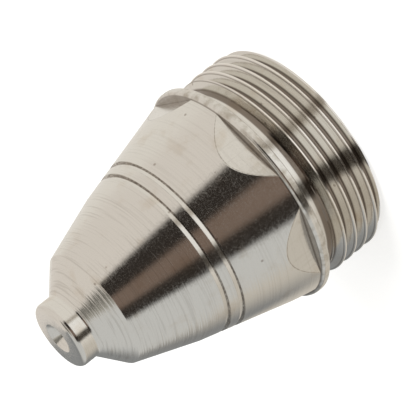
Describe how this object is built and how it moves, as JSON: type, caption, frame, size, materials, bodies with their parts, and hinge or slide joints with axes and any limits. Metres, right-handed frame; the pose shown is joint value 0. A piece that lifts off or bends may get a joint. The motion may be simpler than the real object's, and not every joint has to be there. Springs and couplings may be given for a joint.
{
  "type": "plasma torch nozzle",
  "caption": "Screw-in plasma cutting torch nozzle: hollow stepped metal cone with a small front orifice, ring grooves, wrench flats, a stop rim and an external thread.",
  "frame": {"origin": "centre of the threaded end face, which the part stands on", "axes": "+Z along the bore axis towards the nose, +X square to the first wrench flat"},
  "size_m": [0.0262, 0.0262, 0.0343],
  "materials": {
    "plated_copper": "nickel-plated copper, fine turned"
  },
  "bodies": {
    "root": {"nozzle_body": "plated_copper"}
  },
  "joints": []
}
